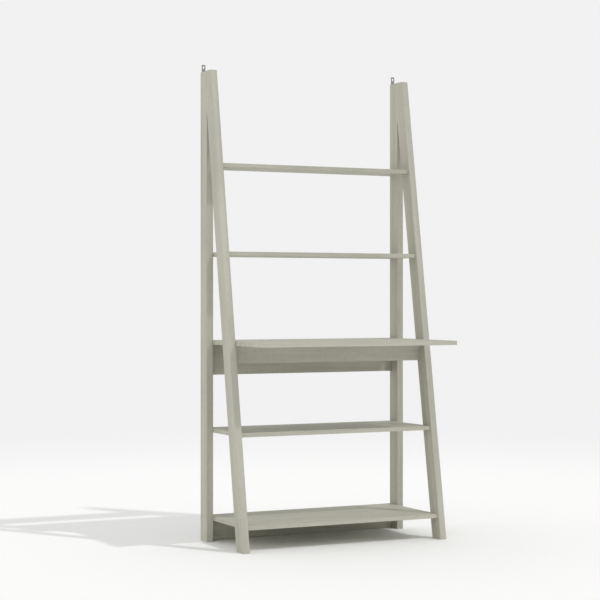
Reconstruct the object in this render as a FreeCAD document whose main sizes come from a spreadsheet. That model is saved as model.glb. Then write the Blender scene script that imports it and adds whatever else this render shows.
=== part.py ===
import FreeCAD, Part
import os

import Sketcher

# Ladder desk: two side frames, each a rear post and a raked front leg, carry four shelves and a
# deeper desk top. Three rails under the boards stiffen it and two plates fix it to a wall.
# Millimetres, +Z up, -Y towards the user, origin on the floor at the middle of the outline.

SIZES = {
    # side frames
    "overall_width": 850,
    "frame_height": 1776,
    "stock_width": 26,
    "post_depth": 60,
    "leg_depth": 60,
    "foot_reach": 394,
    "top_reach": 96,
    # boards
    "board_thickness": 16,
    "desk_height": 760,
    "top_shelf_drop": 352,
    "bottom_shelf_height": 96,
    "desk_depth": 512,
    "shelf_setback": 8.5,
    # rails
    "rail_thickness": 16,
    "back_rail_height": 116,
    "front_rail_height": 66,
    "front_rail_inset": 1,
    "plinth_clearance": 1,
    "edge_round": 1.2,
    # cam fittings and dowels
    "fit_clearance": 0.1,
    "hole_end_gap": 0.5,
    "fastener_spacing": 28,
    "rail_fastener_margin": 20,
    "cam_reach": 34,
    "cam_diameter": 14.8,
    "cam_skin": 3.2,
    "cam_slot_width": 1.4,
    "cam_slot_length": 9,
    "cam_slot_depth": 2,
    "bolt_thread_diameter": 5,
    "bolt_thread_length": 11,
    "bolt_shank_diameter": 7,
    "bolt_neck_diameter": 4,
    "bolt_head_diameter": 6.5,
    "bolt_head_length": 4,
    "bolt_hole_clearance": 0.5,
    "dowel_diameter": 8,
    "dowel_length": 35,
    "dowel_in_frame": 12,
    "dowel_chamfer": 1,
    # joint of post and leg at the top
    "apex_first_drop": 30,
    "apex_pitch": 28,
    "apex_cover": 12,
    "apex_screw_diameter": 5,
    "apex_screw_grip": 26,
    "apex_head_diameter": 9,
    "apex_head_length": 5,
    "apex_head_sink": 2,
    "apex_socket_width": 4,
    "apex_socket_depth": 2.5,
    # wall plates
    "plate_width": 14.5,
    "plate_thickness": 2,
    "plate_rise": 30,
    "plate_drop": 40,
    "plate_corner": 2.5,
    "wall_hole_diameter": 8,
    "wall_hole_inset": 9.5,
    "wall_slot_width": 4.5,
    "wall_slot_drop": 7,
    "plate_screw_diameter": 4,
    "plate_screw_head": 7.6,
    "plate_screw_length": 20,
    "plate_screw_inset": 11,
    "plate_screw_pitch": 16,
    "plate_screw_slot": 1,
}

doc = FreeCAD.newDocument("ladder_desk")
dims = doc.addObject("Spreadsheet::Sheet", "dims")
for row, (alias, size) in enumerate(SIZES.items(), start=1):
    dims.set(f"A{row}", alias)
    dims.set(f"B{row}", str(size))
    dims.setAlias(f"B{row}", alias)
doc.recompute()

# Rules shared by several pieces. A piece's own y is counted from the rear face of the posts.
INNER = "(dims.overall_width / 2 - dims.stock_width)"
REAR = "((max(dims.desk_depth; dims.foot_reach) - dims.plate_thickness) / 2)"
SLOPE = "((dims.foot_reach - dims.top_reach) / dims.frame_height)"
LEG_RUN = f"(dims.leg_depth * sqrt(1 + {SLOPE} ^ 2))"
SEAM_HEIGHT = f"((dims.foot_reach - {LEG_RUN} - dims.post_depth) / {SLOPE})"
HALF_SPACING = "(dims.fastener_spacing / 2)"
POST_CAM = f"(-dims.post_depth / 2 - {HALF_SPACING})"
POST_DOWEL = f"(-dims.post_depth / 2 + {HALF_SPACING})"
RAIL_MIDDLE = "(-dims.rail_thickness / 2)"
CAM_RADIUS = "(dims.cam_diameter / 2)"
CAM_BORE = f"({CAM_RADIUS} + dims.fit_clearance)"
DOWEL_HOLE = "(dims.dowel_diameter / 2 + dims.fit_clearance)"
DOWEL_IN_FRAME = "(dims.dowel_in_frame + dims.hole_end_gap)"
DOWEL_IN_BOARD = "(dims.dowel_length - dims.dowel_in_frame + dims.hole_end_gap)"
BOLT_PILOT = "(dims.bolt_thread_diameter / 2 + dims.fit_clearance)"
BOLT_PILOT_DEPTH = "(dims.bolt_thread_length + dims.hole_end_gap)"
BOLT_HOLE = "(max(dims.bolt_shank_diameter; dims.bolt_head_diameter) / 2 + dims.bolt_hole_clearance)"
APEX_PILOT = "(dims.apex_screw_diameter / 2 + dims.fit_clearance)"
APEX_SINK = "(dims.apex_head_length + dims.apex_head_sink)"

# Heights of the upper faces. A shelf between two others lies halfway.
TOP_SHELF = "(dims.frame_height - dims.top_shelf_drop)"
BOARD_TOPS = {
    "top_shelf": TOP_SHELF,
    "upper_shelf": f"(({TOP_SHELF} + dims.desk_height) / 2)",
    "desk_top": "dims.desk_height",
    "lower_shelf": "((dims.desk_height + dims.bottom_shelf_height) / 2)",
    "bottom_shelf": "dims.bottom_shelf_height",
}
SIDES = {"left": -1, "right": 1}

# Turns from the way a fastener is drawn to the way it points. Bolts, dowels and screws are drawn
# along +x, and cams and countersinks along +z.
ABOUT_X = FreeCAD.Vector(1, 0, 0)
ABOUT_Z = FreeCAD.Vector(0, 0, 1)
TOWARDS = {-1: FreeCAD.Rotation(ABOUT_Z, 180), 1: FreeCAD.Rotation(ABOUT_Z, 0)}
FORWARD = FreeCAD.Rotation(ABOUT_Z, -90)
BACKWARD = FreeCAD.Rotation(ABOUT_Z, 90)
CAM_FROM_REAR = FreeCAD.Rotation(ABOUT_X, 90)
SINK_FROM_REAR = FreeCAD.Rotation(ABOUT_X, -90)

SAME_PLACE = 0.001

nodes = []


def value(rule):
    """The present number of a rule written in the sheet's names."""
    return float(dims.evalExpression(rule))


def board_middle(name):
    return f"({BOARD_TOPS[name]} - dims.board_thickness / 2)"


def board_underside(name):
    return f"({BOARD_TOPS[name]} - dims.board_thickness)"


def leg_front(height):
    return f"(-dims.foot_reach + {SLOPE} * {height})"


def board_depth(name):
    """The desk top runs out past the legs; a shelf stops short of their front face."""
    if name == "desk_top":
        return "dims.desk_depth"
    return f"(-{leg_front(board_middle(name))} - dims.shelf_setback)"


def leg_seats(name):
    """Places of a board's cam and dowel, about the middle of the stretch where it meets the leg.
    Under the desk top the cam lies forward, clear of the front rail."""
    front = leg_front(board_middle(name))
    if name == "desk_top":
        middle = f"({front} + {LEG_RUN} / 2)"
        return f"({middle} - {HALF_SPACING})", f"({middle} + {HALF_SPACING})"
    middle = f"({front} + ({LEG_RUN} + dims.shelf_setback) / 2)"
    return f"({middle} + {HALF_SPACING})", f"({middle} - {HALF_SPACING})"


# Each rail: its lower edge, its height and its rear face, counted from the rear of the posts.
DESK_UNDERSIDE = board_underside("desk_top")
FRONT_RAIL_BASE = f"({DESK_UNDERSIDE} - dims.front_rail_height)"
RAILS = {
    "desk_back_rail": (f"({DESK_UNDERSIDE} - dims.back_rail_height)", "dims.back_rail_height", "0"),
    "desk_front_rail": (
        FRONT_RAIL_BASE,
        "dims.front_rail_height",
        f"({leg_front(FRONT_RAIL_BASE)} + {LEG_RUN} - dims.front_rail_inset)",
    ),
    "plinth_rail": (
        "dims.plinth_clearance",
        f"({board_underside('bottom_shelf')} - dims.plinth_clearance)",
        "0",
    ),
}


def rail_seats(name):
    """Place across the depth, height of the cam bolt and height of the dowel of a rail's end."""
    base, height, rear = RAILS[name]
    middle = f"({rear} + {RAIL_MIDDLE})"
    bolt = f"({base} + {height} - dims.rail_fastener_margin)"
    dowel = f"({base} + dims.rail_fastener_margin)"
    return middle, bolt, dowel


def place(piece, x="0", y="0", z="0", rotation=FreeCAD.Rotation()):
    piece.Placement = FreeCAD.Placement(FreeCAD.Vector(), rotation)
    for axis, rule in zip("xyz", (x, y, z)):
        piece.setExpression(f"Placement.Base.{axis}", rule)


def new_body(label):
    body = doc.addObject("PartDesign::Body", label)
    body.Label = label
    return body


def new_node(label):
    body = new_body(label)
    nodes.append(body)
    return body


def origin_plane(body, role):
    return next(plane for plane in body.Origin.OriginFeatures if plane.Role == role)


def new_sketch(body, name, role, offset=None):
    sketch = body.newObject("Sketcher::SketchObject", f"{body.Name}_{name}")
    sketch.AttachmentSupport = [(origin_plane(body, role), "")]
    sketch.MapMode = "FlatFace"
    if offset:
        sketch.setExpression("AttachmentOffset.Base.z", offset)
    return sketch


def tie(sketch, constraint, rule):
    index = sketch.addConstraint(constraint)
    sketch.setExpression(f"Constraints[{index}]", rule)


def tie_point(sketch, geometry, vertex, x, y):
    tie(sketch, Sketcher.Constraint("DistanceX", -1, 1, geometry, vertex, value(x)), x)
    tie(sketch, Sketcher.Constraint("DistanceY", -1, 1, geometry, vertex, value(y)), y)


def draw_outline(sketch, corners):
    """A closed outline of straight lines through corners, each a pair of rules."""
    points = [FreeCAD.Vector(value(x), value(y), 0) for x, y in corners]
    count = len(points)
    for i, point in enumerate(points):
        sketch.addGeometry(Part.LineSegment(point, points[(i + 1) % count]), False)
    for i in range(count):
        sketch.addConstraint(Sketcher.Constraint("Coincident", i, 2, (i + 1) % count, 1))
    for i, (x, y) in enumerate(corners):
        tie_point(sketch, i, 1, x, y)


def draw_rectangle(sketch, left, bottom, right, top):
    draw_outline(sketch, [(left, bottom), (right, bottom), (right, top), (left, top)])


def draw_upright_slot(sketch, half_width, top, drop):
    """A slot that hangs down from a point on the middle line, with a square upper and a round lower end."""
    end = f"({top} - {drop} + {half_width})"
    left = f"(-{half_width})"
    corners = [(left, top), (left, end), (half_width, end), (half_width, top)]
    points = [FreeCAD.Vector(value(x), value(y), 0) for x, y in corners]
    lowest = FreeCAD.Vector(0, value(f"({top} - {drop})"), 0)
    sketch.addGeometry(Part.LineSegment(points[0], points[1]), False)
    sketch.addGeometry(Part.Arc(points[1], lowest, points[2]), False)
    sketch.addGeometry(Part.LineSegment(points[2], points[3]), False)
    sketch.addGeometry(Part.LineSegment(points[3], points[0]), False)
    for i in range(len(corners)):
        sketch.addConstraint(Sketcher.Constraint("Coincident", i, 2, (i + 1) % len(corners), 1))
    for i, (x, y) in enumerate(corners):
        tie_point(sketch, i, 1, x, y)
    tie(sketch, Sketcher.Constraint("DistanceY", -1, 1, 1, 3, value(end)), end)


def draw_circles(sketch, centres, radius):
    for i, (x, y) in enumerate(centres):
        middle = FreeCAD.Vector(value(x), value(y), 0)
        sketch.addGeometry(Part.Circle(middle, ABOUT_Z, value(radius)), False)
        tie_point(sketch, i, 3, x, y)
        tie(sketch, Sketcher.Constraint("Radius", i, value(radius)), radius)


def pad(body, sketch, length, reverse=False):
    feature = body.newObject("PartDesign::Pad", f"{sketch.Name}_pad")
    feature.Profile = sketch
    feature.Reversed = reverse
    feature.setExpression("Length", length)
    doc.recompute()
    return feature


def pocket(body, sketch, length, reverse=False):
    """Cuts into the body and makes sure that something was cut."""
    before = body.Shape.Volume
    feature = body.newObject("PartDesign::Pocket", f"{sketch.Name}_pocket")
    feature.Profile = sketch
    feature.Reversed = reverse
    feature.setExpression("Length", length)
    doc.recompute()
    if body.Shape.Volume >= before:
        raise RuntimeError(f"{feature.Name} cuts nothing")
    return feature


def pocket_both_ways(body, sketch, length):
    feature = pocket(body, sketch, length)
    feature.Midplane = True
    doc.recompute()


def drill(body, name, role, centres, radius, depth, offset=None, reverse=False):
    sketch = new_sketch(body, name, role, offset)
    draw_circles(sketch, centres, radius)
    return pocket(body, sketch, depth, reverse)


def mirror_across_width(body, features):
    mirrored = body.newObject("PartDesign::Mirrored", f"{body.Name}_mirrored")
    mirrored.Originals = features
    mirrored.MirrorPlane = (origin_plane(body, "YZ_Plane"), [""])
    body.Tip = mirrored
    doc.recompute()
    return mirrored


def round_edges(body, feature, is_rounded, radius="dims.edge_round"):
    """Rounds the straight edges of a plain block whose two end points pass the test together."""
    chosen = []
    for i, edge in enumerate(feature.Shape.Edges, start=1):
        if is_rounded(*(vertex.Point for vertex in edge.Vertexes)):
            chosen.append(f"Edge{i}")
    fillet = body.newObject("PartDesign::Fillet", f"{body.Name}_edges")
    fillet.Base = (feature, chosen)
    fillet.setExpression("Radius", radius)
    doc.recompute()
    return fillet


def same(a, b):
    return abs(a - b) < SAME_PLACE


def lies_along(axis, p, q):
    """True where an edge from p to q runs along one axis only."""
    others = [name for name in "xyz" if name != axis]
    return all(same(getattr(p, name), getattr(q, name)) for name in others)


def revolve(body, corners):
    """A turned piece along x: corners are pairs of a place along the axis and a radius."""
    sketch = new_sketch(body, "profile", "XZ_Plane")
    draw_outline(sketch, corners)
    turned = body.newObject("PartDesign::Revolution", f"{body.Name}_turned")
    turned.Profile = sketch
    turned.ReferenceAxis = (sketch, ["H_Axis"])
    turned.Angle = 360
    doc.recompute()
    return turned


def copies(label, master, seats):
    """A group of alike fasteners: one copy of the master at each seat."""
    links = []
    for i, (x, y, z, rotation) in enumerate(seats, start=1):
        link = doc.addObject("App::Link", f"{label}_{i}")
        link.LinkedObject = master
        place(link, x, y, z, rotation)
        links.append(link)
    group = doc.addObject("Part::Compound", label)
    group.Label = label
    group.Links = links
    nodes.append(group)
    return group


# The topmost fixing of post and leg: near the top, but where the leg is deep enough for a dowel.
DEEP_ENOUGH = f"((dims.foot_reach - dims.post_depth - {DOWEL_IN_BOARD} - dims.apex_cover) / {SLOPE})"
APEX_FIRST = f"min(dims.frame_height - dims.apex_first_drop; {DEEP_ENOUGH})"


def apex_heights(first):
    """Two heights down the joint of post and leg: dowels start at 0, screws at 1."""
    return [f"({APEX_FIRST} - {i} * dims.apex_pitch)" for i in (first, first + 2)]


def apex_centres(side, first):
    return [(f"({side} * dims.stock_width / 2)", height) for height in apex_heights(first)]


# Heights of the two screws of a wall plate, counted from the top of the post.
LOWER_SCREW = "(dims.plate_screw_inset - dims.plate_drop)"
PLATE_SCREWS = [LOWER_SCREW, f"({LOWER_SCREW} + dims.plate_screw_pitch)"]


# A post or leg has its inner face at its own x of 0 and grows outwards.
def make_post(name, side):
    """An upright post, drilled for boards and rails, for the leg and for the wall plate."""
    body = new_node(f"{name}_rear_post")
    blank = new_sketch(body, "section", "XY_Plane")
    draw_rectangle(blank, "0", "-dims.post_depth", f"({side} * dims.stock_width)", "0")
    solid = pad(body, blank, "dims.frame_height")
    round_edges(body, solid, lambda p, q: lies_along("z", p, q) and same(p.y, 0))
    outwards = side > 0
    heights = [board_middle(board) for board in BOARD_TOPS]
    rails = [rail_seats("desk_back_rail"), rail_seats("plinth_rail")]
    bolts = [(POST_CAM, z) for z in heights] + [(y, bolt) for y, bolt, _ in rails]
    dowels = [(POST_DOWEL, z) for z in heights] + [(y, dowel) for y, _, dowel in rails]
    drill(body, "bolt_holes", "YZ_Plane", bolts, BOLT_PILOT, BOLT_PILOT_DEPTH, None, outwards)
    drill(body, "dowel_holes", "YZ_Plane", dowels, DOWEL_HOLE, DOWEL_IN_FRAME, None, outwards)
    front = "dims.post_depth"
    drill(body, "apex_dowels", "XZ_Plane", apex_centres(side, 0), DOWEL_HOLE, DOWEL_IN_FRAME, front)
    drill(body, "apex_screws", "XZ_Plane", apex_centres(side, 1), APEX_PILOT, front, None, True)
    head = "(dims.apex_head_diameter / 2 + dims.fit_clearance)"
    drill(body, "apex_heads", "XZ_Plane", apex_centres(side, 1), head, APEX_SINK, None, True)
    pilot = "(dims.plate_screw_diameter / 2 + dims.fit_clearance)"
    depth = "(dims.plate_screw_length - dims.plate_thickness + dims.hole_end_gap)"
    centres = [(f"({side} * dims.stock_width / 2)", f"(dims.frame_height + {z})") for z in PLATE_SCREWS]
    drill(body, "plate_screws", "XZ_Plane", centres, pilot, depth, None, True)
    place(body, f"({side} * {INNER})", REAR)


def make_leg(name, side):
    """A raked leg, cut level at the foot and the top and upright where it meets the post."""
    body = new_node(f"{name}_front_leg")
    outline = new_sketch(body, "outline", "YZ_Plane")
    draw_outline(
        outline,
        [
            ("(-dims.foot_reach)", "0"),
            (f"({LEG_RUN} - dims.foot_reach)", "0"),
            ("(-dims.post_depth)", SEAM_HEIGHT),
            ("(-dims.post_depth)", "dims.frame_height"),
            ("(-dims.top_reach)", "dims.frame_height"),
        ],
    )
    outwards = side > 0
    solid = pad(body, outline, "dims.stock_width", not outwards)
    foot = -value("dims.foot_reach")
    top = -value("dims.top_reach")
    round_edges(body, solid, lambda p, q: same(min(p.y, q.y), foot) and same(max(p.y, q.y), top))
    bolts = []
    dowels = []
    for board in BOARD_TOPS:
        bolt, dowel = leg_seats(board)
        bolts.append((bolt, board_middle(board)))
        dowels.append((dowel, board_middle(board)))
    y, bolt_height, dowel_height = rail_seats("desk_front_rail")
    bolts.append((y, bolt_height))
    dowels.append((y, dowel_height))
    drill(body, "bolt_holes", "YZ_Plane", bolts, BOLT_PILOT, BOLT_PILOT_DEPTH, None, outwards)
    drill(body, "dowel_holes", "YZ_Plane", dowels, DOWEL_HOLE, DOWEL_IN_FRAME, None, outwards)
    seam = "dims.post_depth"
    drill(body, "apex_dowels", "XZ_Plane", apex_centres(side, 0), DOWEL_HOLE, DOWEL_IN_BOARD, seam, True)
    grip = "(dims.apex_screw_grip + dims.hole_end_gap)"
    drill(body, "apex_screws", "XZ_Plane", apex_centres(side, 1), APEX_PILOT, grip, seam, True)
    place(body, f"({side} * {INNER})", REAR)


def make_board(name):
    """A flat board between the frames, drilled at both ends and bored from below for its cams."""
    body = new_node(name)
    depth = board_depth(name)
    blank = new_sketch(body, "outline", "XY_Plane")
    draw_rectangle(blank, f"(-{INNER})", f"(-{depth})", INNER, "0")
    solid = pad(body, blank, "dims.board_thickness")
    front = -value(depth)
    round_edges(body, solid, lambda p, q: lies_along("x", p, q) and same(p.y, front))
    middle = "(dims.board_thickness / 2)"
    leg_cam, leg_dowel = leg_seats(name)
    cams = [(f"({INNER} - dims.cam_reach)", y) for y in (POST_CAM, leg_cam)]
    bolts = [(y, middle) for y in (POST_CAM, leg_cam)]
    dowels = [(y, middle) for y in (POST_DOWEL, leg_dowel)]
    bore = "(dims.board_thickness - dims.cam_skin)"
    cuts = [
        drill(body, "cam_bores", "XY_Plane", cams, CAM_BORE, bore, None, True),
        drill(body, "bolt_holes", "YZ_Plane", bolts, BOLT_HOLE, "dims.cam_reach", INNER),
        drill(body, "dowel_holes", "YZ_Plane", dowels, DOWEL_HOLE, DOWEL_IN_BOARD, INNER),
    ]
    mirror_across_width(body, cuts)
    place(body, "0", REAR, board_underside(name))


def make_rail(name):
    """An upright rail between the frames, with its cams bored into the hidden rear face."""
    base, height, rear = RAILS[name]
    body = new_node(name)
    face = new_sketch(body, "face", "XZ_Plane")
    draw_rectangle(face, f"(-{INNER})", "0", INNER, height)
    solid = pad(body, face, "dims.rail_thickness")
    round_edges(body, solid, lambda p, q: lies_along("x", p, q) and same(p.z, 0))
    bolt_height = f"({height} - dims.rail_fastener_margin)"
    bore = "(dims.rail_thickness - dims.cam_skin)"
    cams = [(f"({INNER} - dims.cam_reach)", bolt_height)]
    bolts = [(RAIL_MIDDLE, bolt_height)]
    dowels = [(RAIL_MIDDLE, "dims.rail_fastener_margin")]
    cuts = [
        drill(body, "cam_bores", "XZ_Plane", cams, CAM_BORE, bore, None, True),
        drill(body, "bolt_holes", "YZ_Plane", bolts, BOLT_HOLE, "dims.cam_reach", INNER),
        drill(body, "dowel_holes", "YZ_Plane", dowels, DOWEL_HOLE, DOWEL_IN_BOARD, INNER),
    ]
    mirror_across_width(body, cuts)
    place(body, "0", f"({REAR} + {rear})", base)


def make_wall_plate(name, side):
    """A flat steel strip on the rear of a post, with a keyhole for the wall screw above the post."""
    body = new_node(f"{name}_wall_plate")
    half = "(dims.plate_width / 2)"
    face = new_sketch(body, "face", "XZ_Plane")
    draw_rectangle(face, f"(-{half})", "(-dims.plate_drop)", half, "dims.plate_rise")
    solid = pad(body, face, "dims.plate_thickness", True)
    round_edges(body, solid, lambda p, q: lies_along("y", p, q), "dims.plate_corner")
    wall = "(dims.plate_rise - dims.wall_hole_inset)"
    through = "dims.plate_thickness"
    drill(body, "wall_hole", "XZ_Plane", [("0", wall)], "(dims.wall_hole_diameter / 2)", through)
    slot = new_sketch(body, "wall_slot", "XZ_Plane")
    draw_upright_slot(slot, "(dims.wall_slot_width / 2)", wall, "dims.wall_slot_drop")
    pocket(body, slot, through)
    for i, height in enumerate(PLATE_SCREWS):
        sink = body.newObject("PartDesign::SubtractiveCone", f"{body.Name}_sink_{i}")
        sink.setExpression("Radius1", "dims.plate_screw_diameter / 2 + dims.fit_clearance")
        sink.setExpression("Radius2", "dims.plate_screw_head / 2 + dims.fit_clearance")
        sink.setExpression("Height", "dims.plate_thickness")
        place(sink, z=height, rotation=SINK_FROM_REAR)
        doc.recompute()
    place(body, f"({side} * ({INNER} + dims.stock_width / 2))", REAR, "dims.frame_height")


def make_cam(label, thickness):
    """A cam disc standing on the face it was bored from, with its mouth towards +x."""
    height = f"({thickness} - dims.cam_skin - dims.fit_clearance)"
    body = new_body(label)
    disc = new_sketch(body, "disc", "XY_Plane")
    draw_circles(disc, [("0", "0")], CAM_RADIUS)
    pad(body, disc, height)
    head = "(dims.bolt_head_diameter / 2 + dims.fit_clearance)"
    neck = "(dims.bolt_neck_diameter / 2 + dims.fit_clearance)"
    reach = "(dims.bolt_head_length / 2 + dims.fit_clearance)"
    cavity = new_sketch(body, "cavity", "XZ_Plane")
    axis = f"({thickness} / 2)"
    draw_rectangle(cavity, f"(-{reach})", f"({axis} - {head})", reach, f"({axis} + {head})")
    pocket_both_ways(body, cavity, f"(2 * {head})")
    mouth = new_sketch(body, "mouth", "XZ_Plane")
    draw_rectangle(mouth, "0", f"({axis} - {neck})", "dims.cam_diameter", f"({axis} + {neck})")
    pocket_both_ways(body, mouth, f"(2 * {neck})")
    half_width = "(dims.cam_slot_width / 2)"
    half_length = "(dims.cam_slot_length / 2)"
    for name, x, y in (("slot_x", half_length, half_width), ("slot_y", half_width, half_length)):
        slot = new_sketch(body, name, "XY_Plane")
        draw_rectangle(slot, f"(-{x})", f"(-{y})", x, y)
        pocket(body, slot, "dims.cam_slot_depth", True)
    return body


def make_cam_bolt():
    """Its collar seats on the frame at x 0: thread into the frame at +x, shank, neck and head at -x."""
    body = new_body("cam_bolt")
    thread = "(dims.bolt_thread_diameter / 2)"
    shank = "(dims.bolt_shank_diameter / 2)"
    neck = "(dims.bolt_neck_diameter / 2)"
    head = "(dims.bolt_head_diameter / 2)"
    shank_end = f"({CAM_BORE} - dims.cam_reach)"
    head_start = "(dims.bolt_head_length / 2 - dims.cam_reach)"
    head_end = "(-dims.bolt_head_length / 2 - dims.cam_reach)"
    revolve(
        body,
        [
            (head_end, "0"),
            ("dims.bolt_thread_length", "0"),
            ("dims.bolt_thread_length", thread),
            ("0", thread),
            ("0", shank),
            (shank_end, shank),
            (shank_end, neck),
            (head_start, neck),
            (head_start, head),
            (head_end, head),
        ],
    )
    return body


def make_dowel():
    """A fluteless hardwood dowel with eased ends, in the frame at +x and in the other piece at -x."""
    body = new_body("dowel")
    radius = "(dims.dowel_diameter / 2)"
    tip = f"({radius} - dims.dowel_chamfer)"
    far = "(dims.dowel_in_frame - dims.dowel_length)"
    revolve(
        body,
        [
            (far, "0"),
            ("dims.dowel_in_frame", "0"),
            ("dims.dowel_in_frame", tip),
            ("(dims.dowel_in_frame - dims.dowel_chamfer)", radius),
            (f"({far} + dims.dowel_chamfer)", radius),
            (far, tip),
        ],
    )
    return body


def make_apex_screw():
    """A screw with a sunk cylinder head at x 0, through the post along +x and into the leg."""
    body = new_body("apex_screw")
    radius = "(dims.apex_screw_diameter / 2)"
    head = "(dims.apex_head_diameter / 2)"
    end = "(dims.post_depth - dims.apex_head_sink + dims.apex_screw_grip)"
    revolve(
        body,
        [
            ("0", "0"),
            (end, "0"),
            (f"({end} - {radius})", radius),
            ("dims.apex_head_length", radius),
            ("dims.apex_head_length", head),
            ("0", head),
        ],
    )
    socket = new_sketch(body, "socket", "YZ_Plane")
    half = "(dims.apex_socket_width / 2)"
    point = f"({half} * 2 / sqrt(3))"
    side = f"({half} / sqrt(3))"
    draw_outline(
        socket,
        [
            (point, "0"),
            (side, half),
            (f"(-{side})", half),
            (f"(-{point})", "0"),
            (f"(-{side})", f"(-{half})"),
            (side, f"(-{half})"),
        ],
    )
    pocket(body, socket, "dims.apex_socket_depth", True)
    return body


def make_plate_screw():
    """A countersunk screw, flush with the plate at x 0, with a plain driver slot."""
    body = new_body("plate_screw")
    radius = "(dims.plate_screw_diameter / 2)"
    head = "(dims.plate_screw_head / 2)"
    revolve(
        body,
        [
            ("0", "0"),
            ("dims.plate_screw_length", "0"),
            (f"(dims.plate_screw_length - {radius})", radius),
            ("dims.plate_thickness", radius),
            ("0", head),
        ],
    )
    slot = new_sketch(body, "slot", "YZ_Plane")
    half = "(dims.plate_screw_slot / 2)"
    draw_rectangle(slot, f"(-{half})", f"(-{head})", half, head)
    pocket(body, slot, "dims.plate_screw_slot", True)
    return body


def both_ends(x, y, z):
    """The same seat at the left and the right end of a board or rail, facing outwards."""
    return [(f"({side} * {x})", y, z, TOWARDS[side]) for side in SIDES.values()]


def fit_board(name, cam, bolt, dowel):
    """A board's fastener groups: at each end a cam, its bolt and a dowel to the post and to the leg."""
    leg_cam, leg_dowel = leg_seats(name)
    cam_seats = []
    bolt_seats = []
    dowel_seats = []
    for y in (POST_CAM, leg_cam):
        cam_seats += both_ends(f"({INNER} - dims.cam_reach)", f"({REAR} + {y})", board_underside(name))
        bolt_seats += both_ends(INNER, f"({REAR} + {y})", board_middle(name))
    for y in (POST_DOWEL, leg_dowel):
        dowel_seats += both_ends(INNER, f"({REAR} + {y})", board_middle(name))
    copies(f"{name}_cams", cam, cam_seats)
    copies(f"{name}_cam_bolts", bolt, bolt_seats)
    copies(f"{name}_dowels", dowel, dowel_seats)


def fit_rail(name, cam, bolt, dowel):
    """A rail's fastener groups: at each end a cam with its bolt above a dowel."""
    _, _, rear = RAILS[name]
    y, bolt_height, dowel_height = rail_seats(name)
    middle = f"({REAR} + {y})"
    cam_seats = []
    for x, _, _, facing in both_ends(f"({INNER} - dims.cam_reach)", middle, bolt_height):
        cam_seats.append((x, f"({REAR} + {rear})", bolt_height, CAM_FROM_REAR.multiply(facing)))
    copies(f"{name}_cams", cam, cam_seats)
    copies(f"{name}_cam_bolts", bolt, both_ends(INNER, middle, bolt_height))
    copies(f"{name}_dowels", dowel, both_ends(INNER, middle, dowel_height))


def frame_seats(y, heights, rotation):
    """Seats on the middle line of both frames at the given heights."""
    x = f"({INNER} + dims.stock_width / 2)"
    return [(f"({side} * {x})", y, z, rotation) for side in SIDES.values() for z in heights]


for side_name, direction in SIDES.items():
    make_post(side_name, direction)
    make_leg(side_name, direction)
for board_name in BOARD_TOPS:
    make_board(board_name)
for rail_name in RAILS:
    make_rail(rail_name)
for side_name, direction in SIDES.items():
    make_wall_plate(side_name, direction)

board_cam = make_cam("board_cam", "dims.board_thickness")
rail_cam = make_cam("rail_cam", "dims.rail_thickness")
cam_bolt = make_cam_bolt()
plain_dowel = make_dowel()
for board_name in BOARD_TOPS:
    fit_board(board_name, board_cam, cam_bolt, plain_dowel)
for rail_name in RAILS:
    fit_rail(rail_name, rail_cam, cam_bolt, plain_dowel)
seam_plane = f"({REAR} - dims.post_depth)"
sunk_plane = f"({REAR} - dims.apex_head_sink)"
plate_plane = f"({REAR} + dims.plate_thickness)"
plate_heights = [f"(dims.frame_height + {z})" for z in PLATE_SCREWS]
copies("apex_dowels", plain_dowel, frame_seats(seam_plane, apex_heights(0), BACKWARD))
copies("apex_screws", make_apex_screw(), frame_seats(sunk_plane, apex_heights(1), FORWARD))
copies("wall_plate_screws", make_plate_screw(), frame_seats(plate_plane, plate_heights, FORWARD))
doc.recompute()

for item in doc.Objects:
    if "Invalid" in item.State or "Error" in item.State:
        raise RuntimeError(f"{item.Label} failed: {item.State}")
for node in nodes:
    if node.Shape.isNull() or not node.Shape.isValid():
        raise RuntimeError(f"{node.Label} has no valid shape")
os.makedirs("parts", exist_ok=True)
for node in nodes:
    node.Shape.exportStep(f"parts/{node.Label}.step")
    print(f"{node.Label}: {len(node.Shape.Solids)} solids, {node.Shape.Volume / 1000:.1f} cm3")
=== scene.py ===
# %% [markdown]
# # A painted ladder desk
# Two side frames, each an upright rear post and a raked front leg, carry four open shelves and a
# deeper desk top. The solids come ready made from the drawing, in metres and in their final places.
# Every one of them already has the shape of the real piece, so this lesson models nothing twice: it
# gives the desk a camera, a light and finishes, and reads what it needs from the loaded pieces.

# %% Load the desk
import math

import bmesh
import bpy
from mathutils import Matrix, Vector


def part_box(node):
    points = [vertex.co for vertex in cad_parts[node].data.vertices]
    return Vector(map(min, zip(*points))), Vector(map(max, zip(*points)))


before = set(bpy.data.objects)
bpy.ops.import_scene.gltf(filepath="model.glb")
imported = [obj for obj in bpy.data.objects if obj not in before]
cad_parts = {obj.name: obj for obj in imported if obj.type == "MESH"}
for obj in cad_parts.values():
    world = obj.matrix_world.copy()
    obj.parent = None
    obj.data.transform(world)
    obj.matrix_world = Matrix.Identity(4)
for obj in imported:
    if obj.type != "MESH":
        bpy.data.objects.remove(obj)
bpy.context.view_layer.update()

# %% [markdown]
# ## Camera
# The photograph was taken level, from the front and well to the left, with a long lens, so upright
# edges stay upright. A camera could be dragged into place by eye, but then every edge is a little
# wrong. These numbers come from a fit to the edges of the desk instead. The camera is only turned
# about the vertical, and a small lens shift puts the horizon where it belongs without a tilt.

# %% Camera
IMAGE_SIDE = 600
FOCAL_PIXELS = 1696.35
HORIZON_ROW = 296.92
CAMERA_PLACE = (-2.9453, -5.6863, 0.9239)
CAMERA_TURN = math.radians(-26.343)
QUARTER_TURN = math.pi / 2

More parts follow.
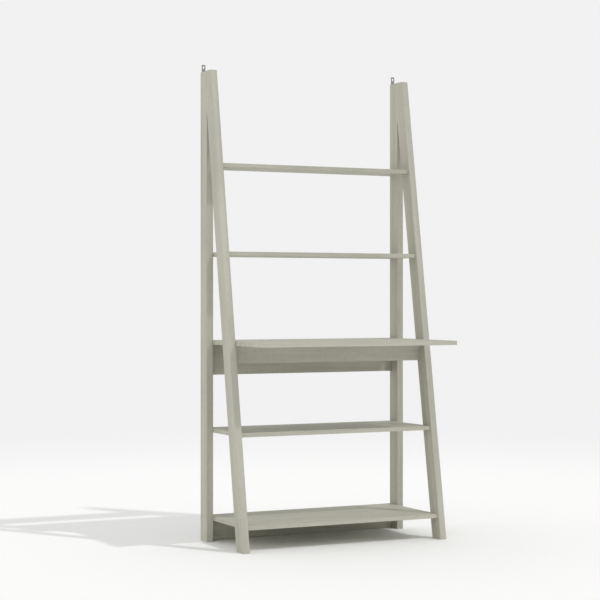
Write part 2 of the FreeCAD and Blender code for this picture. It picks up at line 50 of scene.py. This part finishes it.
lens = bpy.data.cameras.new("camera")
lens.sensor_fit = "HORIZONTAL"
lens.lens = FOCAL_PIXELS * lens.sensor_width / IMAGE_SIDE
lens.shift_y = (HORIZON_ROW - IMAGE_SIDE / 2) / IMAGE_SIDE
camera = bpy.data.objects.new("camera", lens)
camera.location = CAMERA_PLACE
camera.rotation_euler = (QUARTER_TURN, 0, CAMERA_TURN)
bpy.context.scene.collection.objects.link(camera)
bpy.context.scene.camera = camera
bpy.context.scene.view_settings.view_transform = "Standard"
print("lens", round(lens.lens, 2), "shift", round(lens.shift_y, 5))

# %% [markdown]
# ## Helpers for node trees
# Every finish below is a small tree of nodes. In the editor a socket either holds a value or has a
# wire on it, and the first helper works the same way: it fills a socket with a number or colour, or
# joins it to another node's output. The others wrap the three nodes that are needed most: a sum, a
# change of range and a cloudy pattern.


# %% Node helpers
def add_node(tree, kind, inputs=None, **settings):
    """A new node, each of whose inputs gets a value or is joined to another node's output."""
    made = tree.nodes.new(kind)
    for name, value in settings.items():
        setattr(made, name, value)
    for name, value in (inputs or {}).items():
        if isinstance(value, bpy.types.NodeSocket):
            tree.links.new(value, made.inputs[name])
        else:
            made.inputs[name].default_value = value
    return made


def work_out(tree, operation, first, second):
    """The sum, product or the like of two numbers."""
    made = add_node(tree, "ShaderNodeMath", {0: first, 1: second}, operation=operation)
    return made.outputs["Value"]


def rescale(tree, value, low, high, to_low=0, to_high=1, **settings):
    """Stretches the range from low to high over another one, and clips what lies outside."""
    inputs = {
        "Value": value,
        "From Min": low,
        "From Max": high,
        "To Min": to_low,
        "To Max": to_high,
    }
    return add_node(tree, "ShaderNodeMapRange", inputs, **settings).outputs["Result"]


def noise(tree, place, scale, detail, roughness, distortion=0):
    """A cloudy pattern between 0 and 1, mostly close to 0.5."""
    inputs = {
        "Vector": place,
        "Scale": scale,
        "Detail": detail,
        "Roughness": roughness,
        "Distortion": distortion,
    }
    return add_node(tree, "ShaderNodeTexNoise", inputs).outputs["Fac"]


print("helpers", add_node.__name__, work_out.__name__, rescale.__name__, noise.__name__)

# %% [markdown]
# ## Surroundings
# Plain soft light falls on the desk from all round, most of it from the left. Large area lamps
# could give that, but another view would run into them. A world whose brightness changes with
# direction has no such trouble: each side adds a broad lobe, strongest straight ahead. What the
# camera and shiny surfaces see of it is one plain pale tone.


# %% Light helpers
def agreement(tree, first, second):
    """1 where two directions are the same, 0 where they are square to each other."""
    inputs = {0: first, 1: second}
    made = add_node(tree, "ShaderNodeVectorMath", inputs, operation="DOT_PRODUCT")
    return made.outputs["Value"]


def seen_directly(tree):
    """1 on rays that show a thing to the camera, in a mirror or through glass, and 0 on others."""
    rays = add_node(tree, "ShaderNodeLightPath").outputs
    shown = work_out(tree, "MAXIMUM", rays["Is Camera Ray"], rays["Is Glossy Ray"])
    return work_out(tree, "MAXIMUM", shown, rays["Is Transmission Ray"])


print("helpers", agreement.__name__, seen_directly.__name__)

# %% World
PALE = 0.885
WHITE = (1, 1, 1, 1)
LIGHT_FROM = {
    "left": ((-1, 0, 0), 1.06),
    "right": ((1, 0, 0), 0.74),
    "front": ((0, -1, 0), 0.66),
    "behind": ((0, 1, 0), 0.9),
    "above": ((0, 0, 1), 0.72),
}
LOBE_POWER = 2

world = bpy.data.worlds.new("pale_surroundings")
bpy.context.scene.world = world
world.use_nodes = True
sky = world.node_tree
sky.nodes.clear()
direction = add_node(sky, "ShaderNodeTexCoord").outputs["Generated"]
brightness = 0
for axis, strength in LIGHT_FROM.values():
    ahead = work_out(sky, "MAXIMUM", agreement(sky, direction, axis), 0)
    lobe = work_out(sky, "POWER", ahead, LOBE_POWER)
    brightness = work_out(sky, "ADD", brightness, work_out(sky, "MULTIPLY", lobe, strength))
lighting = add_node(sky, "ShaderNodeBackground", {"Color": WHITE, "Strength": brightness})
plain = add_node(sky, "ShaderNodeBackground", {"Color": WHITE, "Strength": PALE})
ends = {1: lighting.outputs["Background"], 2: plain.outputs["Background"]}
choice = add_node(sky, "ShaderNodeMixShader", {"Fac": seen_directly(sky), **ends})
add_node(sky, "ShaderNodeOutputWorld", {"Surface": choice.outputs["Shader"]})
print("world", world.name, {side: strength for side, (_, strength) in LIGHT_FROM.items()})

# %% [markdown]
# ## Key light
# Crisp but weak shadows on the floor and under the boards show one far lamp, high on the right and
# in front of the desk. A spot or area lamp would throw shadows that fan out. A sun lamp has the
# same direction everywhere, and its angle sets how soft the edges of the shadows are. A point one
# metre up throws its shadow as far along x and y as SHADOW_RUN says.

# %% Sun
SHADOW_RUN = (-0.5, 0.65)
SUN_STRENGTH = 0.86
SUN_SPREAD = math.radians(2)

sun = bpy.data.lights.new("key", "SUN")
sun.energy = SUN_STRENGTH
sun.angle = SUN_SPREAD
key = bpy.data.objects.new("key", sun)
run = math.hypot(*SHADOW_RUN)
heading = math.atan2(SHADOW_RUN[1], SHADOW_RUN[0])
key.rotation_euler = (math.atan(run), 0, heading - QUARTER_TURN)
bpy.context.scene.collection.objects.link(key)
print("height of the key", round(math.degrees(math.atan(1 / run)), 1))

# %% [markdown]
# ## Floor
# The floor is pale and matt, and it takes the shadow of the desk. A studio sweep that curves up
# behind the desk would do for one view only. A flat round sheet has no back and no corner, so it
# serves every view. In the low gap under the bottom shelf, light goes to and fro between floor and
# paint many times. Four such bounces, as many as are followed by default, leave that gap too dark,
# so there are more here.

# %% Floor
FLOOR_RADIUS = 14
FLOOR_SIDES = 96
LIGHT_BOUNCES = 8

sheet = bmesh.new()
bmesh.ops.create_circle(sheet, cap_ends=True, segments=FLOOR_SIDES, radius=FLOOR_RADIUS)
floor_mesh = bpy.data.meshes.new("floor")
sheet.to_mesh(floor_mesh)
sheet.free()
floor = bpy.data.objects.new("floor", floor_mesh)
bpy.context.scene.collection.objects.link(floor)
bpy.context.scene.cycles.diffuse_bounces = LIGHT_BOUNCES
print("floor radius", FLOOR_RADIUS, "bounces", LIGHT_BOUNCES)

# %% [markdown]
# ## Floor finish
# Near the desk the floor is plain matt white. Its far rim would draw a horizon line, which a bigger
# sheet only makes thinner, so further out what the camera sees of it fades into the tone of the
# surroundings. Light that bounces off the floor still comes from the matt white.

# %% Floor finish
FADE_START = 1.5
FADE_END = 5.5
FLOOR_TONE = (0.985, 0.985, 0.98, 1)

floor_finish = bpy.data.materials.new("pale_floor")
floor_finish.use_nodes = True
tree = floor_finish.node_tree
tree.nodes.clear()
place = add_node(tree, "ShaderNodeTexCoord").outputs["Object"]
reach = add_node(tree, "ShaderNodeVectorMath", {0: place}, operation="LENGTH").outputs["Value"]
far = rescale(tree, reach, low=FADE_START, high=FADE_END, interpolation_type="SMOOTHSTEP")
fade = work_out(tree, "MULTIPLY", far, seen_directly(tree))
matt = add_node(tree, "ShaderNodeBsdfDiffuse", {"Color": FLOOR_TONE})
glow = add_node(tree, "ShaderNodeEmission", {"Color": WHITE, "Strength": PALE})
ends = {1: matt.outputs["BSDF"], 2: glow.outputs["Emission"]}
blend = add_node(tree, "ShaderNodeMixShader", {"Fac": fade, **ends})
add_node(tree, "ShaderNodeOutputMaterial", {"Surface": blend.outputs["Shader"]})
floor_mesh.materials.append(floor_finish)
print("floor", floor_finish.name, "fades from", FADE_START, "to", FADE_END)

# %% [markdown]
# ## Helpers for node groups
# Worn edges and paint come back in several finishes. Their nodes could be copied into each of them,
# but a copy that is changed later no longer fits the rest. A node group is made once and placed
# where it is needed, with its own values on its sockets. The third helper mixes two patterns.

# %% Group helpers
FLOAT = "NodeSocketFloat"
VECTOR = "NodeSocketVector"


def new_group(name, inputs, outputs):
    """An empty node group with its sockets, and what comes in at its input end."""
    group = bpy.data.node_groups.new(name, "ShaderNodeTree")
    for socket, kind in inputs.items():
        group.interface.new_socket(socket, in_out="INPUT", socket_type=kind)
    for socket, kind in outputs.items():
        group.interface.new_socket(socket, in_out="OUTPUT", socket_type=kind)
    return group, add_node(group, "NodeGroupInput").outputs


def use_group(tree, group, inputs):
    """A group placed in a material, and what it puts out."""
    return add_node(tree, "ShaderNodeGroup", inputs, node_tree=group).outputs


def mix_values(tree, first, second, share):
    """A value between two others: share of the second, the rest of the first."""
    inputs = {"Factor": share, "A": first, "B": second}
    return add_node(tree, "ShaderNodeMix", inputs, data_type="FLOAT").outputs["Result"]


print("helpers", new_group.__name__, use_group.__name__, mix_values.__name__)

# %% [markdown]
# ## Eased and worn edges
# A painter breaks every sharp edge with a few strokes of sandpaper, and with use the paint gets
# thin there. The edges that stand free are round in the solids. Where two pieces meet flush they
# are sharp, and cutting a second, rounder copy of each piece would open the seams. The Bevel node
# instead gives the normal that an edge would have if it were rounder. Where that differs from the
# true normal there is an edge, and a cloudy pattern breaks the line of wear up.

# %% Edge group
BEVEL_SAMPLES = 6
NO_EDGE, FULL_EDGE = 0.99, 0.8
NO_WEAR, FULL_WEAR = 0.42, 0.62

edges, given = new_group(
    "eased_edges",
    {"Place": VECTOR, "Width": FLOAT, "Patch Scale": FLOAT},
    {"Wear": FLOAT, "Normal": VECTOR},
)
bevel = add_node(edges, "ShaderNodeBevel", {"Radius": given["Width"]}, samples=BEVEL_SAMPLES)
rounded = bevel.outputs["Normal"]
true_normal = add_node(edges, "ShaderNodeNewGeometry").outputs["Normal"]
edge_line = rescale(edges, agreement(edges, rounded, true_normal), low=NO_EDGE, high=FULL_EDGE)
blotches = noise(edges, given["Place"], given["Patch Scale"], detail=4, roughness=0.65)
patches = rescale(edges, blotches, low=NO_WEAR, high=FULL_WEAR)
wear = work_out(edges, "MULTIPLY", edge_line, patches)
add_node(edges, "NodeGroupOutput", {"Wear": wear, "Normal": rounded})
print("group", edges.name)

# %% [markdown]
# ## Paint film
# The desk is sprayed in a dull satin grey with a touch of olive. Close up, paint on wood is never
# quite flat: the grain shows through as long streaks and fine open pores, the tone is a little
# mottled, the film has some orange peel, and the sheen changes from place to place. A picture of
# paint would repeat and has a fixed sharpness, so the patterns are made from noise. The grain runs
# along the z axis of the vector that the group is given, so one group serves bars and boards.

# %% Paint film group
CLOUDS_PER_METRE = 3.5
MOTTLE_PER_METRE = 90
PEEL_PER_METRE = 650
PORES_PER_STREAK = 28
PORE_SHADE = 0.3
PORE_DEPTH = 0.5

film, given = new_group(
    "paint_film",
    {"Place": VECTOR, "Along Grain": VECTOR},
    {"Tone": FLOAT, "Sheen": FLOAT, "Height": FLOAT},
)
streaks = noise(film, given["Along Grain"], scale=1, detail=7, roughness=0.72, distortion=0.3)
pits = noise(film, given["Along Grain"], PORES_PER_STREAK, detail=2, roughness=0.5)
pores = rescale(film, pits, low=0.6, high=0.72)
clouds = noise(film, given["Place"], CLOUDS_PER_METRE, detail=3, roughness=0.5)
mottle = noise(film, given["Place"], MOTTLE_PER_METRE, detail=5, roughness=0.65)
peel = noise(film, given["Place"], PEEL_PER_METRE, detail=2, roughness=0.5)
grain = mix_values(film, clouds, streaks, share=0.75)
shade = rescale(film, mix_values(film, grain, mottle, share=0.2), low=0.36, high=0.64)
tone = work_out(film, "SUBTRACT", shade, work_out(film, "MULTIPLY", pores, PORE_SHADE))
sheen = mix_values(film, clouds, peel, share=0.5)
relief = mix_values(film, peel, streaks, share=0.45)
height = work_out(film, "SUBTRACT", relief, work_out(film, "MULTIPLY", pores, PORE_DEPTH))
add_node(film, "NodeGroupOutput", {"Tone": tone, "Sheen": sheen, "Height": height})
print("group", film.name)

# %% [markdown]
# ## Rake of the legs
# The grain of a leg runs along it, so its paint has to know how far the leg leans. That could be
# typed in as an angle, but it is safer to measure it: the front edge of the leg lies further back
# at the top than at the foot.

# %% Rake
MEASURE_BAND = 0.001

leg_low, leg_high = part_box("left_front_leg")
leg_points = [vertex.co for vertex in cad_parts["left_front_leg"].data.vertices]
foot_front = min(point.y for point in leg_points if point.z < leg_low.z + MEASURE_BAND)
top_front = min(point.y for point in leg_points if point.z > leg_high.z - MEASURE_BAND)
leg_rake = math.atan2(top_front - foot_front, leg_high.z - leg_low.z)
print("rake in degrees", round(math.degrees(leg_rake), 2))

# %% [markdown]
# ## Helpers for finishes
# All finishes start in the same way, with one Principled shader that reads its place on the piece
# in Object coordinates. The pieces stand at the origin, so that place is in metres and a pattern
# keeps its true size. A Mapping node of the kind Texture first turns the place and then divides it
# by the size of one patch of the pattern, so that size can be written in metres too.


# %% Finish helpers
def new_finish(name):
    """A material with a fresh Principled shader, its tree and the place on the piece."""
    finish = bpy.data.materials.new(name)
    finish.use_nodes = True
    tree = finish.node_tree
    tree.nodes.clear()
    shader = add_node(tree, "ShaderNodeBsdfPrincipled")
    add_node(tree, "ShaderNodeOutputMaterial", {"Surface": shader.outputs["BSDF"]})
    return finish, tree, shader, add_node(tree, "ShaderNodeTexCoord").outputs["Object"]


def mix_colours(tree, first, second, amount):
    """A colour between two, each of which is a fixed colour or a socket."""
    mixed = add_node(tree, "ShaderNodeMix", {"Factor": amount}, data_type="RGBA")
    ends = [socket for socket in mixed.inputs if socket.type == "RGBA"]
    for end, colour in zip(ends, (first, second)):
        if isinstance(colour, bpy.types.NodeSocket):
            tree.links.new(colour, end)
        else:
            end.default_value = colour
    return next(socket for socket in mixed.outputs if socket.type == "RGBA")


def stretch(tree, place, size, turn=(0, 0, 0)):
    """The place on the piece, turned and then counted in patches of the given size."""
    inputs = {"Vector": place, "Rotation": turn, "Scale": size}
    return add_node(tree, "ShaderNodeMapping", inputs, vector_type="TEXTURE").outputs["Vector"]


def join_up(tree, shader, colour, rough, relief):
    """Joins the colour, the roughness and the inputs of a Bump node to the shader."""
    bump = add_node(tree, "ShaderNodeBump", relief)
    tree.links.new(colour, shader.inputs["Base Color"])
    tree.links.new(rough, shader.inputs["Roughness"])
    tree.links.new(bump.outputs["Normal"], shader.inputs["Normal"])


print("helpers", new_finish.__name__, mix_colours.__name__, stretch.__name__, join_up.__name__)

# %% [markdown]
# ## Painted wood
# The three paint finishes differ only in the way that the grain runs: up the posts, along the raked
# legs and along the boards. Three trees could be drawn by hand, but one function with the turn of
# the grain as its setting keeps them alike. The colour is mixed between a darker and a lighter tone
# that lie close together, and worn edges are a little paler.

# %% Painted wood
PAINT_DARK = (0.405, 0.4, 0.334, 1)
PAINT_LIGHT = (0.55, 0.544, 0.461, 1)
PAINT_WORN = (0.64, 0.63, 0.55, 1)
PAINT_SPECULAR = 0.15
SMOOTHEST, ROUGHEST = 0.52, 0.7
STREAK_SIZE = (0.03, 0.03, 0.9)
EASED_PAINT = {"Width": 0.002, "Patch Scale": 30}
PAINT_RELIEF = {"Strength": 0.25, "Distance": 0.0003}


def painted_wood(name, turn):
    """Satin paint whose grain runs along z, turned by the given angles."""
    finish, tree, shader, place = new_finish(name)
    along = stretch(tree, place, STREAK_SIZE, turn)
    paint = use_group(tree, film, {"Place": place, "Along Grain": along})
    edge = use_group(tree, edges, {"Place": place, **EASED_PAINT})
    colour = mix_colours(tree, PAINT_DARK, PAINT_LIGHT, paint["Tone"])
    worn = mix_colours(tree, colour, PAINT_WORN, edge["Wear"])
    rough = rescale(tree, paint["Sheen"], low=0.3, high=0.7, to_low=SMOOTHEST, to_high=ROUGHEST)
    relief = {"Height": paint["Height"], "Normal": edge["Normal"], **PAINT_RELIEF}
    join_up(tree, shader, worn, rough, relief)
    shader.inputs["Specular IOR Level"].default_value = PAINT_SPECULAR
    return finish


upright_paint = painted_wood("painted_upright", (0, 0, 0))
raked_paint = painted_wood("painted_rake", (-leg_rake, 0, 0))
board_paint = painted_wood("painted_board", (0, QUARTER_TURN, 0))
print("paints", upright_paint.name, raked_paint.name, board_paint.name)

# %% [markdown]
# ## Zinc and steel
# Wall plates, screws, bolts and cams are bright or dull zinc. One grey for all would do from far
# off, but close up they differ: plates and screws show fine drawn lines, the plates are darker
# because their plating is dull, and the cams are cast, so they are pitted and have no lines. All of
# them have a cloudy tarnish and edges that are rubbed bright.

# %% Plated metal
EASED_METAL = {"Width": 0.0006, "Patch Scale": 300}
METAL_RELIEF = {"Strength": 0.3, "Distance": 0.00008}
SMOOTHER, ROUGHER = -0.08, 0.12
TARNISH_PER_METRE = 180
PITS_PER_METRE = 1400


def plated_metal(name, dark, light, roughness, line_size, pitted):
    """Zinc with drawn lines of the given size; pitted is the share of cast pits in its relief."""
    finish, tree, shader, place = new_finish(name)
    lines = noise(tree, stretch(tree, place, line_size), scale=1, detail=4, roughness=0.7)
    tarnish = noise(tree, place, TARNISH_PER_METRE, detail=4, roughness=0.6)
    cells = add_node(tree, "ShaderNodeTexVoronoi", {"Vector": place, "Scale": PITS_PER_METRE})
    edge = use_group(tree, edges, {"Place": place, **EASED_METAL})
    smooth, dull = roughness + SMOOTHER, roughness + ROUGHER
    metal = mix_colours(tree, dark, light, tarnish)
    rubbed = mix_colours(tree, metal, light, edge["Wear"])
    rough = rescale(tree, tarnish, low=0, high=1, to_low=smooth, to_high=dull)
    grooves = mix_values(tree, lines, cells.outputs["Distance"], share=pitted)
    relief = {"Height": grooves, "Normal": edge["Normal"], **METAL_RELIEF}
    join_up(tree, shader, rubbed, rough, relief)
    shader.inputs["Metallic"].default_value = 1
    return finish


print("helper", plated_metal.__name__)

# %% [markdown]
# ## The three metals
# The lines on a plate run up it, as the strip was rolled. On screws and bolts they run from left to
# right, which is across the head of a screw and along the shank of a bolt. A cam gets the same size
# in every direction, which turns the lines into a fine grain.

# %% Metals
FINE_LINE = 0.0004
LONG_LINE = 0.016
CAST_GRAIN = 0.0011

plate_zinc = plated_metal(
    "dull_zinc_plate",
    dark=(0.26, 0.26, 0.26, 1),
    light=(0.36, 0.36, 0.35, 1),
    roughness=0.42,
    line_size=(FINE_LINE, FINE_LINE, LONG_LINE),
    pitted=0.15,
)
screw_zinc = plated_metal(
    "bright_zinc",
    dark=(0.52, 0.52, 0.5, 1),
    light=(0.66, 0.66, 0.64, 1),
    roughness=0.3,
    line_size=(LONG_LINE, FINE_LINE, FINE_LINE),
    pitted=0.1,
)
cam_zinc = plated_metal(
    "zinc_casting",
    dark=(0.42, 0.42, 0.41, 1),
    light=(0.55, 0.55, 0.54, 1),
    roughness=0.45,
    line_size=(CAST_GRAIN, CAST_GRAIN, CAST_GRAIN),
    pitted=0.7,
)
print("metals", plate_zinc.name, screw_zinc.name, cam_zinc.name)

# %% [markdown]
# ## Beech
# The dowels are bare beech: pale brown, with long fibres. They sit inside the joints and show only
# when the desk is taken apart, so a noise that is stretched along the dowel is enough. The dowels
# of boards and rails lie from left to right, and those between post and leg from front to back, so
# the size of a fibre is given for each of the two.

# %% Beech
BEECH_DARK = (0.5, 0.32, 0.18, 1)
BEECH_LIGHT = (0.68, 0.49, 0.31, 1)
BEECH_SMOOTHEST, BEECH_ROUGHEST = 0.55, 0.75
BEECH_RELIEF = {"Strength": 0.3, "Distance": 0.0002}
FIBRE_LENGTH = 0.025
FIBRE_WIDTH = 0.0007


def bare_beech(name, fibre_size):
    """Unpainted beech whose fibres have the given size."""
    finish, tree, shader, place = new_finish(name)
    fibres = noise(tree, stretch(tree, place, fibre_size), scale=1, detail=5, roughness=0.65)
    colour = mix_colours(tree, BEECH_DARK, BEECH_LIGHT, fibres)
    smooth, dull = BEECH_SMOOTHEST, BEECH_ROUGHEST
    rough = rescale(tree, fibres, low=0, high=1, to_low=smooth, to_high=dull)
    join_up(tree, shader, colour, rough, {"Height": fibres, **BEECH_RELIEF})
    return finish


beech_across = bare_beech("beech_across", (FIBRE_LENGTH, FIBRE_WIDTH, FIBRE_WIDTH))
beech_in_depth = bare_beech("beech_in_depth", (FIBRE_WIDTH, FIBRE_LENGTH, FIBRE_WIDTH))
print("woods", beech_across.name, beech_in_depth.name)

# %% [markdown]
# ## Give each piece its finish
# The finishes could be dealt out by hand, one piece after another, but the names already say what a
# piece is. Posts have upright grain, legs have raked grain, and every other painted piece is a
# board or rail with its grain along its length. The first ending that fits decides.

# %% Finishes
FINISH_BY_ENDING = {
    "apex_dowels": beech_in_depth,
    "_dowels": beech_across,
    "_cams": cam_zinc,
    "_bolts": screw_zinc,
    "_screws": screw_zinc,
    "_plate": plate_zinc,
    "_post": upright_paint,
    "_leg": raked_paint,
}


def finish_for(name):
    """The finish that the end of a piece's name asks for; boards and rails have no such ending."""
    for ending, finish in FINISH_BY_ENDING.items():
        if name.endswith(ending):
            return finish
    return board_paint


for name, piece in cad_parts.items():
    piece.material_slots[0].material = finish_for(name)
print("finished", len(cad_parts))
